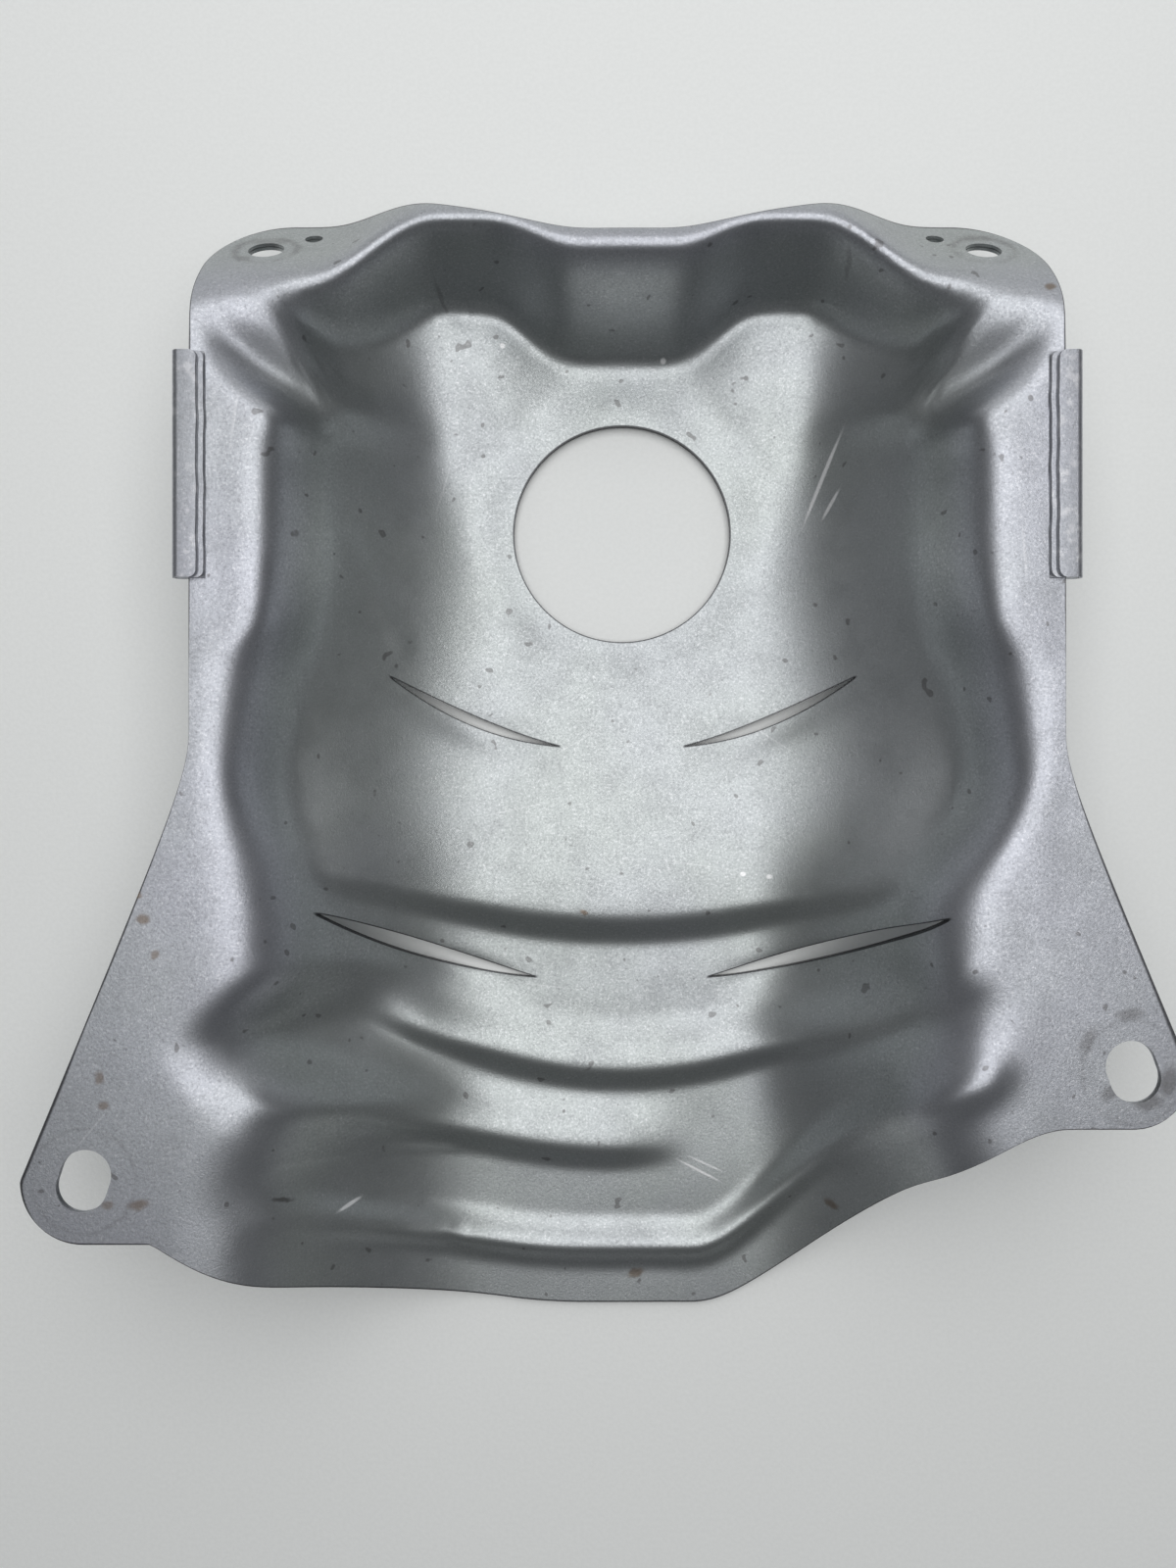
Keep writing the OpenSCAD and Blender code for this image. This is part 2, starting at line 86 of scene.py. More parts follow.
DIP_FROM_X = 36.0
DIP_TO_X = 12.0
RIDGE_BEND = 8.0
END_RUN = 12.0
LOBE_RUN = 0.3  # the construction states 0.58, but the softer folds here need a shorter end wall
END_EASE = 6.0
LOBE_LIFT = 8.0
END_FLAT_X = SIDE_HALF - 28.5
END_LOBE_X = END_FLAT_X - 32.0
BOLT_D = 9.5
BOLT_X = SIDE_HALF - 14.5
BOLT_Y = 18.5
PILOT_D = 4.8
PILOT_X = SIDE_HALF - 26.0
PILOT_Y = 24.0
TONGUE_IN = 13.0
TONGUE_Y = 31.0
VALLEY_DEPTH = 4.0
VALLEY_FALL = 15.0
VALLEY_W = 7.5
VALLEY_DROP = 7.0
CREASE_H = 2.5
CREASE_RUN = 0.665
CREASE_RISE = 0.747
SENSOR_D = 63.0
HEM_TOP_Y = 36.0
HEM_LEN = 57.0
HEM_OUT = 4.0
HEM_W = 6.6
HEM_SHOW = 1.6
HEM_R = 2.0
POCKET_Y = -38.0
STEP_Y = -115.5
STEP_H = 5.0
STEP_SAG = 31.0
STEP_END_X = 110.0
LOWER_IN = {-1: 6.0, 1: 15.5}
BULGE = {-1: 14.0, 1: 5.0}
BULGE_Y = {-1: -141.0, 1: -132.0}
BULGE_HALF = {-1: 21.0, 1: 16.0}
LOWER_WIDEN = 11.0
RIB_A_Y = -156.0
RIB_A_SAG = 17.0
RIB_A_END_X = 65.0
RIB_B_Y = -179.0
RIB_B_SAG = 30.0
RIB_B_END_X = 100.0
RIB_H = 4.0
BEAD_IN = 17.5
BEAD_HALF = 7.0
BEAD_H = 4.0
UPPER_SLIT_Y = -63.5
UPPER_SLIT_SAG = 21.0
UPPER_SLIT_END = 66.0
UPPER_SLIT_LEN = 48.0
UPPER_SLIT_W = 3.0
LOWER_SLIT_Y = -131.5
LOWER_SLIT_SAG = 24.0
LOWER_SLIT_END = 83.0
LOWER_SLIT_LEN = 58.0
LOWER_SLIT_W = 4.8
LIP_PRESS = 2.0
SLOT_W = 13.0
SLOT_LEN = 16.0
SLOT_LEAN = {-1: -18.0, 1: 20.0}
STACK_T = 2 * SHEET_T + PLY_GAP
FLANGE_Z = TROUGH_DEPTH + STACK_T
ARC_45 = 1 - math.sqrt(0.5)

# Where one form starts and where it is complete, or the other way round
TONGUE_FROM = 19.0
TONGUE_TO = 2.0
CREASE_BEND = 3.0
WIDEN_Y = (-148.0, -184.0)
POCKET_EASE = 8.0
LOWER_FROM = 50.0
LOWER_TO = 12.0
FOOT_GAP = 5.0
FOOT_FROM = 32.0
FOOT_TO = 38.0
EAR_FOOT_TO = 5.0
LOBE_X = (16.0, 38.0)
DROP_RUN = 60.0
SHOULDER_POWER = 2.4
END_POWER = 1.2
SEAT_EASE = 16.0
LIFT_X = (12.0, 44.0)
LIFT_REACH = (62.0, 6.0)
VALLEY_END = 22.0
VALLEY_LEN = 26.0
VALLEY_PINCH = (0.3, 1.0)
VALLEY_NARROW = 0.5
VALLEY_INNER = (29.0, 21.0)
VALLEY_OUTER = (-30.0, -16.0)
VALLEY_FAR = (-13.0, -3.0)
INSIDE_GAP = 4.0
INSIDE_RUN = 30.0
STEP_RUN_OUT = (75.0, 7.0)
STEP_FACE = (-4.0, 4.0)
RIB_UPPER_SIDE = (15.0, 2.0)
RIB_LOWER_SIDE = (-6.0, 0.0)
RIB_A_LEFT = (-78.0, -55.0)
RIB_A_RIGHT = (95.0, 75.0)
RIB_B_LEFT = (-106.0, -92.0)
RIB_B_RIGHT = (22.0, -8.0)
BEAD_LEFT = (-100.0, -88.0)
BEAD_RIGHT = (99.0, 88.0)
LIP_SPAN = 0.55
LIP_EDGE = (2.0, -1.0)
LIP_FADE = (-9.0, -2.0)

# Every fold is averaged over a disc, small at the ribs and larger at the walls
RIB_FOLD_R = 3.0
WALL_FOLD_R = 5.2
WALLS_Y = (-75.0, -50.0)
WALLS_X = (70.0, 90.0)
DISC_SAMPLES = 18
DISC_RINGS = 3
PROBE = 0.4  # step over which slopes are measured

# Fine relief of the pressing, under a millimetre
RING_RISE = 0.9
RING_IN = 33.0
RING_OUT = 46.0
CREASE_R = (44.5, 48.5)
CREASE_HALF = (1.6, 1.4)
CREASE_TURN = (75.0, 42.0)
CREASE_LIFT = 0.3
WRINKLE_LIFT = 0.7
WRINKLE_EASE = 2
SHEET_WAVE = 0.16

# Wrinkles: start and end on the plan, half width, and height as a share of WRINKLE_LIFT
WRINKLES = ((-53, 67, -48, 55, 1.7, 1.0), (61, 70, 57, 58, 1.7, 1.0), (50, 69, 46, 58, 1.5, 0.8),
            (-47, 68, -44, 60, 1.4, -0.8), (-78, 0, -62, -36, 4, 0.4), (-53, -201, -45, -207, 1.5, -0.8),
            (-46, -200, -51, -208, 1.5, -0.7), (-92, -172, -47, -179, 1.2, 0.5))

# Fineness of the dressed sheets: rows between guide lines, and columns on each side
ROW_COUNTS = (20, 22, 92, 92)
WALL_ROUNDS = 5
FLOOR_COLUMNS = 46
WALL_COLUMNS = 26
FLANGE_COLUMNS = 20
WALL_SHARE = 0.82

# Heights that the cutters reach between, in millimetres
SENSOR_CUT = (-10, 20)
SLIT_CUT = (-10, 60)
SLOT_CUT = (30, 70)
FLANGE_CUT = (-8, 8)
SLIT_POWER = 0.8

# Small sizes of the folded tabs, in millimetres
HEM_ROOT = 0.5
HEM_SINK = 0.02
HEM_CHAMFER = 0.3
HEM_BURR = (0.12, 0.15)
HEM_LEAST_R = 0.05
HEM_ROLL = 1.4
HEM_WAVES = ((0.09, 19, 1), (0.06, 43, 2))

SHARP_ANGLE = 38
RIM_NEAR = 0.01


# Small helpers

def ramp(a, b, x):
    """0 at a and 1 at b, smooth between and level past them."""
    c = np.clip((x - a) / (b - a), 0, 1)
    return c * c * (3 - 2 * c)


def mix(a, b, w):
    return a + (b - a) * w


def bend(f, r):
    """0 below -r and f above r, with a round corner between."""
    return np.where(f <= -r, 0, np.where(f >= r, f, (f + r) ** 2 / (4 * r)))


def bump(d, half):
    """1 on a line, 0 at a distance half from it."""
    return ramp(half, 0, np.abs(d))


# Outline, seen from above

def flare(y):
    s = np.maximum(0, FLARE_Y - y)
    return np.sqrt(s * s + FLARE_R * FLARE_R) - FLARE_R


def edge_x(y, side):
    """Distance of the side edge from the centre line."""
    top = y - CORNER_Y
    low = EAR_Y[side] - y
    r = EAR_R[side]
    at_top = SIDE_HALF - CORNER_R + np.sqrt(np.maximum(0, CORNER_R ** 2 - top * top))
    at_ear = EAR_REACH[side] - r + np.sqrt(np.maximum(0, r * r - low * low))
    between = SIDE_HALF + (EAR_REACH[side] - SIDE_HALF) * flare(y) / flare(EAR_Y[side])
    return np.where(top > 0, at_top, np.where(low > 0, at_ear, between))


def top_edge_y(x):
    a = np.abs(x)
    flat_end = SIDE_HALF - CORNER_R
    past = a - flat_end
    arch = TOP_MID_Y + TOP_ARCH
    line = (TOP_MID_Y + TOP_ARCH * ramp(ARCH_FROM_X, ARCH_TO_X, a)
            + (CORNER_Y + CORNER_R - arch) * ramp(ARCH_TO_X, flat_end, a))
    return np.where(past > 0, CORNER_Y + np.sqrt(np.maximum(0, CORNER_R ** 2 - past * past)), line)


def ear_arc_y(side, past):
    return EAR_Y[side] - np.sqrt(np.maximum(0, EAR_R[side] ** 2 - past * past))


def bottom_edge_y(x):
    past_left = -x - (EAR_REACH[-1] - EAR_R[-1])
    past_right = x - (EAR_REACH[1] - EAR_R[1])
    climb = np.clip((LEVEL_FROM_X[-1] + x) / (LEVEL_FROM_X[-1] - LEVEL_X[-1]), 0, 1) ** 2
    left = mix(BOTTOM_MID_Y, EAR_Y[-1] - EAR_R[-1], climb)
    right = mix(BOTTOM_MID_Y, EAR_Y[1] - EAR_R[1], ramp(LEVEL_FROM_X[1], LEVEL_X[1], x))
    line = np.where(x < 0, left, right)
    line = np.where(past_left > 0, ear_arc_y(-1, past_left), line)
    return np.where(past_right > 0, ear_arc_y(1, past_right), line)


# Lines across the trough that bow towards the viewer's side

def step_line(x):
    return STEP_Y + STEP_SAG * (x / STEP_END_X) ** 2


def rib_a_line(x):
    return RIB_A_Y + RIB_A_SAG * (x / RIB_A_END_X) ** 2


def rib_b_line(x):
    return RIB_B_Y + RIB_B_SAG * (x / RIB_B_END_X) ** 2


def upper_slit_line(x):
    return UPPER_SLIT_Y + UPPER_SLIT_SAG * (x / UPPER_SLIT_END) ** 2


def lower_slit_line(x):
    return LOWER_SLIT_Y + LOWER_SLIT_SAG * (x / LOWER_SLIT_END) ** 2


def ridge_line(x):
    a = np.abs(x)
    return RIDGE_Y + LOBE_RISE * ramp(END_FLAT_X, END_LOBE_X, a) - MID_DIP * ramp(DIP_FROM_X, DIP_TO_X, a)


# The pressing

def upper_wall(y):
    """Half width of the upper trough, stepped in to a tip at the top corners and out along the crease."""
    tongue = TONGUE_IN * ramp(TONGUE_Y - TONGUE_FROM, TONGUE_Y - TONGUE_TO, y)
    along = bend(np.minimum(y, RIDGE_Y) - TONGUE_Y, CREASE_BEND)
    return TROUGH_HALF - tongue + CREASE_RUN / CREASE_RISE * along


def lower_wall(y, side):
    widen = LOWER_WIDEN * ramp(*WIDEN_Y, y)
    return SIDE_HALF + widen - LOWER_IN[side] + BULGE[side] * bump(y - BULGE_Y[side], BULGE_HALF[side])


def wall_x(y, left):
    """Half width of the trough at the flange level, on the left where left is true."""
    pocket = ramp(POCKET_Y + POCKET_EASE, POCKET_Y - POCKET_EASE, y)
    lower = ramp(STEP_Y + LOWER_FROM, STEP_Y + LOWER_TO, y)
    low = np.where(left, lower_wall(y, -1), lower_wall(y, 1))
    return mix(mix(upper_wall(y), POCKET_HALF, pocket), low, lower)


def foot_x(y, w):
    """Distance of a wall's foot from the centre line. It changes more slowly than the wall's top."""
    soft = mix(TROUGH_HALF, POCKET_HALF, ramp(POCKET_Y + FOOT_FROM, POCKET_Y - FOOT_TO, y)) - WALL_RUN
    lower = ramp(STEP_Y + LOWER_FROM, STEP_Y + EAR_FOOT_TO, y)
    return np.minimum(w - FOOT_GAP, mix(soft, w - EAR_WALL_RUN, lower))


def end_length(x):
    return END_RUN * mix(1, LOBE_RUN, ramp(*LOBE_X, np.abs(x)))


def drop_at(y):
    return mix(WALL_DROP, LOW_WALL_DROP, ramp(STEP_Y, STEP_Y - DROP_RUN, y))


def shoulder(c):
    """Share of a wall's height at a share c of its width, with a round shoulder at the top."""
    return np.clip(c, 0, 1) ** SHOULDER_POWER


def end_share(x, y):
    """The same for the end wall, which is also round at its foot."""
    length = end_length(x)
    c = np.clip((ridge_line(x) - y + END_EASE) / (length + END_EASE), 0, 1)
    return ramp(0, 1, c ** END_POWER)


def trough(x, y):
    """Depth of the trough below the flange."""
    a = np.abs(x)
    w = wall_x(y, x < 0)
    foot = foot_x(y, w)
    pad = mix(PAD_HALF, PAD_TOP_HALF, ramp(PAD_NARROW_Y, PAD_WIDE_Y, y))
    curl = np.clip((a - pad) / (foot - pad), 0, 1) ** FLOOR_POWER
    off_seat = ramp(PAD_HALF, PAD_HALF + SEAT_EASE, np.hypot(x, y))
    lift = LOBE_LIFT * ramp(*LIFT_X, a) * ramp(*LIFT_REACH, ridge_line(x) - y) * off_seat
    wall = drop_at(y) * shoulder((w - a) / (w - foot))
    return (wall + (TROUGH_DEPTH - drop_at(y) - lift) * (1 - curl)) * end_share(x, y)


def valley(x, y):
    """Valley across each top corner: the flange drops into it and a crease stands over it."""
    px = np.abs(x) - (TROUGH_HALF - TONGUE_IN)
    py = y - TONGUE_Y
    off = CREASE_RISE * px - CREASE_RUN * py
    along = CREASE_RUN * px + CREASE_RISE * py
    t = np.clip((VALLEY_END - along) / VALLEY_LEN, 0, 1)
    w = VALLEY_W * mix(1, VALLEY_NARROW, ramp(*VALLEY_PINCH, t))
    depth = (VALLEY_DEPTH + VALLEY_FALL * t) * ramp(0, VALLEY_DROP, w + VALLEY_DROP - off)
    return ((depth - CREASE_H * (1 - t) * ramp(0, 1, 1 - off / w))
            * ramp(*VALLEY_INNER, along) * ramp(*VALLEY_OUTER, along) * ramp(*VALLEY_FAR, off))


def inside(x, y):
    """1 inside the trough, falling to 0 towards its wall."""
    w = wall_x(y, x < 0)
    return ramp(0, INSIDE_RUN, w - INSIDE_GAP - np.abs(x))


def pocket_lift(x, y):
    d = y - step_line(x)
    return STEP_H * inside(x, y) * ramp(*STEP_RUN_OUT, d) * ramp(*STEP_FACE, d)


def rib(d, across):
    return RIB_H * across * ramp(*RIB_UPPER_SIDE, d) * ramp(*RIB_LOWER_SIDE, d)


def bead(x, y):
    slope = (bottom_edge_y(x + 1) - bottom_edge_y(x - 1)) / 2
    d = (y - bottom_edge_y(x)) / np.sqrt(1 + slope * slope) - BEAD_IN
    across = ramp(*BEAD_LEFT, x) * ramp(*BEAD_RIGHT, x)
    return BEAD_H * across * bump(d, BEAD_HALF)


def lip(x, y, line, end, length):
    d = y - line
    across = bump(np.abs(x) - (end - length / 2), length * LIP_SPAN)
    return LIP_PRESS * across * ramp(*LIP_EDGE, d) * ramp(*LIP_FADE, d)


# Fine relief: a shallow ring and creases round the sensor hole, wrinkles at the lobes, dents and waves

def ring(x, y):
    r = np.hypot(x, y)
    turn = np.degrees(np.arctan2(y, x))
    low = bump(turn + 90, CREASE_TURN[0])
    short = bump(turn + 90, CREASE_TURN[1])
    creases = bump(r - CREASE_R[0], CREASE_HALF[0]) * low + bump(r - CREASE_R[1], CREASE_HALF[1]) * short
    return RING_RISE * ramp(RING_OUT, RING_IN, r) + CREASE_LIFT * creases


def wrinkle(x, y, x0, y0, x1, y1, half):
    """A low fold along a short line on the plan."""
    run = math.hypot(x1 - x0, y1 - y0)
    ux, uy = (x1 - x0) / run, (y1 - y0) / run
    along = (x - x0) * ux + (y - y0) * uy
    off = (x - x0) * uy - (y - y0) * ux
    ends = ramp(-WRINKLE_EASE, WRINKLE_EASE, along), ramp(run + WRINKLE_EASE, run - WRINKLE_EASE, along)
    return bump(off, half) * ends[0] * ends[1]


def waves(x, y):
    """Slow uneven waves of the sheet, about -1.6 to 1.6. Their lengths and shifts are free choices."""
    return (np.sin(0.071 * x + 0.043 * y + 0.6) * np.sin(0.052 * y - 0.031 * x)
            + 0.6 * np.sin(0.13 * x - 0.09 * y) * np.sin(0.11 * y + 0.07 * x + 1.3))


def fine_relief(x, y):
    folds = 0.0
    for x0, y0, x1, y1, half, share in WRINKLES:
        folds = folds + share * wrinkle(x, y, x0, y0, x1, y1, half)
    return ring(x, y) + WRINKLE_LIFT * folds + SHEET_WAVE * waves(x, y)


def face_z(x, y):
    """Height of the hollow side's face over a point of the plan."""
    return (FLANGE_Z - np.maximum(trough(x, y), valley(x, y)) + pocket_lift(x, y)
            + rib(y - rib_a_line(x), ramp(*RIB_A_LEFT, x) * ramp(*RIB_A_RIGHT, x))
            + rib(y - rib_b_line(x), ramp(*RIB_B_LEFT, x) * ramp(*RIB_B_RIGHT, x))
            + bead(x, y)
            - lip(x, y, upper_slit_line(x), UPPER_SLIT_END, UPPER_SLIT_LEN)
            - lip(x, y, lower_slit_line(x), LOWER_SLIT_END, LOWER_SLIT_LEN)
            - bend(y - ridge_line(x), RIDGE_BEND))


def rounded_z(x, y):
    """The height averaged over a small disc, because every fold of the sheet is soft."""
    radius = mix(RIB_FOLD_R, WALL_FOLD_R, np.maximum(ramp(*WALLS_Y, y), ramp(*WALLS_X, np.abs(x))))
    total = face_z(x, y)
    for i in range(DISC_SAMPLES):
        turn = 2 * math.pi * i / DISC_SAMPLES
        r = radius * (i % DISC_RINGS + 1) / DISC_RINGS
        total = total + face_z(x + r * math.cos(turn), y + r * math.sin(turn))
    return total / (DISC_SAMPLES + 1)


def dressed_z(x, y):
    """The rounded height with its fine relief, which leaves the hems' strips and the slots alone."""
    on_sheet = ramp(SIDE_HALF, SIDE_HALF - 8, np.abs(x))
    return rounded_z(x, y) + on_sheet * fine_relief(x, y)


def face_normal(x, y):
    gx = (dressed_z(x + PROBE, y) - dressed_z(x - PROBE, y)) / (2 * PROBE)
    gy = (dressed_z(x, y + PROBE) - dressed_z(x, y - PROBE)) / (2 * PROBE)
    n = np.stack([-gx, -gy, np.ones_like(gx)], axis=-1)
    return n / np.linalg.norm(n, axis=-1, keepdims=True)


# Grid over the plan, between guide lines: top edge, ridge, foot of the end wall, step and bottom edge

def guide_end_y(guide, side):
    return (CORNER_Y + CORNER_R * math.sqrt(0.5), RIDGE_Y, RIDGE_Y - END_RUN * LOBE_RUN,
            step_line(STEP_END_X), EAR_Y[side] - EAR_R[side] * math.sqrt(0.5))[guide]


def guide_y(guide, q, side):
    if guide == 0:
        return top_edge_y(q * (SIDE_HALF - CORNER_R * ARC_45))
    if guide == 1:
        return ridge_line(q * SIDE_HALF)
    if guide == 2:
        return ridge_line(q * SIDE_HALF) - end_length(q * SIDE_HALF)
    if guide == 3:
        return step_line(q * STEP_END_X)
    return bottom_edge_y(q * (EAR_REACH[side] - EAR_R[side] * ARC_45))


def row_y(place, q, side):
    above = min(3, int(place))
    return mix(guide_y(above, q, side), guide_y(above + 1, q, side), place - above)


def row_end_y(place, side):
    above = min(3, int(place))
    return mix(guide_end_y(above, side), guide_end_y(above + 1, side), place - above)


def row_wall(place, side, edge, y):
    """Where a row meets the trough's wall, found in a few rounds."""
    for _ in range(WALL_ROUNDS):
        wall = min(float(wall_x(y, side < 0)), edge - 3)
        y = row_y(place, side * wall / edge, side)
    return wall


def row_places():
    places = [0.0]
    for guide, count in enumerate(ROW_COUNTS):
        places += [guide + (i + 1) / count for i in range(count)]
    return places


def column_places():
    return np.concatenate([np.linspace(0, WALL_SHARE, FLOOR_COLUMNS + 1),
                           np.linspace(WALL_SHARE, 1, WALL_COLUMNS + 1)[1:],
                           np.linspace(1, 2, FLANGE_COLUMNS + 1)[1:]])


def half_row(place, side):
    """Plan points of one row from the centre line out to one side edge."""
    end_y = row_end_y(place, side)
    edge = float(edge_x(end_y, side))
    wall = row_wall(place, side, edge, end_y)
    c = column_places()
    x = side * np.where(c < 1, c * wall, mix(wall, edge, c - 1))
    return x, row_y(place, x / edge, side)


def plan_grid():
    xs, ys = [], []
    for place in row_places():
        left_x, left_y = half_row(place, -1)
        right_x, right_y = half_row(place, 1)
        xs.append(np.concatenate([left_x[::-1], right_x[1:]]))
        ys.append(np.concatenate([left_y[::-1], right_y[1:]]))
    return np.array(xs), np.array(ys)


def add_mesh(name, points, faces):
    mesh = bpy.data.meshes.new(name)
    mesh.from_pydata([tuple(p) for p in points], [], faces)
    mesh.update()
    piece = bpy.data.objects.new(name, mesh)
    bpy.context.scene.collection.objects.link(piece)
    return piece


def pressed_sheet(name, top, bottom):
    """A closed sheet between two depths below the hollow side's face."""
    x, y = plan_grid()
    rows, cols = x.shape
    centre = np.stack([x, y, dressed_z(x, y)], axis=-1)
    normal = face_normal(x, y)
    upper = (centre - top * normal).reshape(-1, 3)
    lower = (centre - bottom * normal).reshape(-1, 3)
    count = rows * cols
    index = np.arange(count).reshape(rows, cols)
    quads = np.stack([index[1:, :-1], index[1:, 1:], index[:-1, 1:], index[:-1, :-1]], axis=-1).reshape(-1, 4)
    rim = np.concatenate([index[0, :], index[1:, -1], index[-1, -2::-1], index[-2:0:-1, 0]])
    after = np.roll(rim, -1)
    sides = np.stack([rim, after, after + count, rim + count], axis=-1)
    faces = np.concatenate([quads, quads[:, ::-1] + count, sides])
    sheet = add_mesh(name, np.concatenate([upper, lower]) * MM, faces.tolist())
    return sheet, [sheet.data.vertices[i].co.copy() for i in np.concatenate([rim, rim + count]).tolist()]


# Cutters, in millimetres on the plan, pushed straight down or square to the bolt flange

def prism(name, outline, z0, z1):
    n = len(outline)
    points = [(p[0] * MM, p[1] * MM, z * MM) for z in (z0, z1) for p in outline]
    faces = [list(range(n))[::-1], list(range(n, 2 * n))]
    faces += [[i, (i + 1) % n, n + (i + 1) % n, n + i] for i in range(n)]
    return add_mesh(name, points, faces)


def slit_outline(line, side, end, length, width, n=40):
    ts = np.linspace(0, 1, n + 1)
    x = side * (end - length * (1 - ts))
    half = width / 2 * np.sin(np.pi * (1 - ts) ** SLIT_POWER)
    upper = [(px, line(px) + h) for px, h in zip(x, half)]
    lower = [(px, line(px) - h) for px, h in zip(x, half)][1:-1]
    outline = upper + lower[::-1]
    return outline[::-1] if side > 0 else outline


def slot_outline(side, n=40):
    r = SLOT_W / 2
    reach = (SLOT_LEN - SLOT_W) / 2
    lean = math.radians(SLOT_LEAN[side])
    points = []
    for i in range(2 * n):
        t = 2 * math.pi * i / (2 * n)
        px = r * math.cos(t)
        py = r * math.sin(t) + (reach if i < n else -reach)
        points.append((side * (EAR_REACH[side] - EAR_R[side]) + px * math.cos(lean) - py * math.sin(lean),
                       EAR_Y[side] + px * math.sin(lean) + py * math.cos(lean)))
    return points


def circle_outline(d, n=128):
    return [(d / 2 * math.cos(2 * math.pi * i / n), d / 2 * math.sin(2 * math.pi * i / n)) for i in range(n)]


def flange_cutter(name, x, past_ridge, d):
    cutter = prism(name, circle_outline(d, 64), *FLANGE_CUT)
    y = RIDGE_Y + past_ridge
    cutter.rotation_euler = (math.radians(-45), 0, 0)
    cutter.location = (x * MM, y * MM, float(face_z(np.array(float(x)), np.array(y))) * MM)
    return cutter


def slit_cutter(name, line, side, *sizes):
    return prism(name, slit_outline(line, side, *sizes), *SLIT_CUT)


def make_cutters():
    upper = UPPER_SLIT_END, UPPER_SLIT_LEN, UPPER_SLIT_W
    lower = LOWER_SLIT_END, LOWER_SLIT_LEN, LOWER_SLIT_W
    cutters = [prism("cut_sensor", circle_outline(SENSOR_D), *SENSOR_CUT)]
    for side in (-1, 1):
        cutters += [
            slit_cutter(f"cut_upper_{side}", upper_slit_line, side, *upper),
            slit_cutter(f"cut_lower_{side}", lower_slit_line, side, *lower),
            prism(f"cut_slot_{side}", slot_outline(side), *SLOT_CUT),
            flange_cutter(f"cut_bolt_{side}", side * BOLT_X, BOLT_Y, BOLT_D),
            flange_cutter(f"cut_pilot_{side}", side * PILOT_X, PILOT_Y, PILOT_D)]
    return cutters


def boolean(piece, others, operation):
    """Cuts or joins other objects into a piece, and removes them."""
    group = bpy.data.collections.new("tools")
    bpy.context.scene.collection.children.link(group)
    for other in others:
        bpy.context.scene.collection.objects.unlink(other)
        group.objects.link(other)
    modifier = piece.modifiers.new("bool", "BOOLEAN")
    modifier.operation = operation
    modifier.solver = "EXACT"
    modifier.operand_type = "COLLECTION"
    modifier.collection = group
    bpy.context.view_layer.update()
    shaped = bpy.data.meshes.new_from_object(piece.evaluated_get(bpy.context.evaluated_depsgraph_get()))
    piece.modifiers.clear()
    piece.data = shaped
    for other in others:
        bpy.data.objects.remove(other)
    bpy.data.collections.remove(group)


# Hems

def hem_section(out, z0, z1, back, n=14):
    """Section of a folded tab from its foot round to its tip: distance out from the side edge, height."""
    r = (z1 - z0) / 2
    x0 = out - r
    outer = [(-HEM_ROOT, z0 + HEM_SINK)]
    outer += [(x0 + r * math.sin(t), z0 + r - r * math.cos(t)) for t in np.linspace(0, math.pi, n)]
    outer += [(out - back + HEM_CHAMFER, z1), (out - back, z1 - HEM_CHAMFER)]
    ri = max(HEM_LEAST_R, r - SHEET_T)
    inner = [(out - back, z1 - SHEET_T + HEM_BURR[0]), (out - back + HEM_BURR[1], z1 - SHEET_T)]
    inner += [(x0 + ri * math.sin(t), z0 + r - ri * math.cos(t)) for t in np.linspace(math.pi, 0, n)]
    inner += [(-HEM_ROOT, z0 + SHEET_T - HEM_SINK)]
    return outer + inner


def hem_tab(name, side, out, layer, z1, back, steps=60):
    """A tab folded back over the flange, with round inner corners and a slightly uneven roll."""
    z0 = FLANGE_Z - layer - SHEET_T
    section = hem_section(out, z0, z1, back)
    n = len(section)
    points = []
    for i in range(steps + 1):
        t = (1 - math.cos(math.pi * i / steps)) / 2
        y = HEM_TOP_Y - HEM_LEN * t
        end = min(t, 1 - t) * HEM_LEN
        pull = HEM_R - math.sqrt(max(0.0, HEM_R ** 2 - max(0.0, HEM_R - end) ** 2))
        wave = sum(size * math.sin(turns * t + shift * side) for size, turns, shift in HEM_WAVES)
        for px, pz in section:
            folded = pz > z0 + SHEET_T + HEM_CHAMFER
            tip = max(0.0, min(1.0, (out - HEM_ROLL - px) / (back - HEM_ROLL))) if folded else 0.0
            points.append((side * (SIDE_HALF + px + tip * (pull + wave)) * MM, y * MM, pz * MM))
    faces = []
    for i in range(steps):
        for j in range(n):
            a, b = i * n + j, i * n + (j + 1) % n
            faces.append([a, b, b + n, a + n])
    faces.append(list(range(n))[::-1])
    faces.append([steps * n + j for j in range(n)])
    if side > 0:
        faces = [f[::-1] for f in faces]
    return add_mesh(name, points, faces)


def recalc_normals(piece):
    work = bmesh.new()
    work.from_mesh(piece.data)
    bmesh.ops.recalc_face_normals(work, faces=work.faces)
    work.to_mesh(piece.data)
    work.free()


def mark_rim(piece, rim):
    """Marks the vertices of the trimmed outline, on which the shader paints shade."""
    tree = KDTree(len(rim))
    for i, point in enumerate(rim):
        tree.insert(point, i)
    tree.balance()
    on_rim = [1.0 if tree.find(v.co)[2] < RIM_NEAR * MM else 0.0 for v in piece.data.vertices]
    piece.data.attributes.new("rim", "FLOAT", "POINT").data.foreach_set("value", on_rim)


def finish_mesh(piece):
    """Smooth shading with crisp sheared edges."""
    mesh = piece.data
    mesh.polygons.foreach_set("use_smooth", [True] * len(mesh.polygons))
    mesh.set_sharp_from_angle(angle=math.radians(SHARP_ANGLE))
    mesh.update()


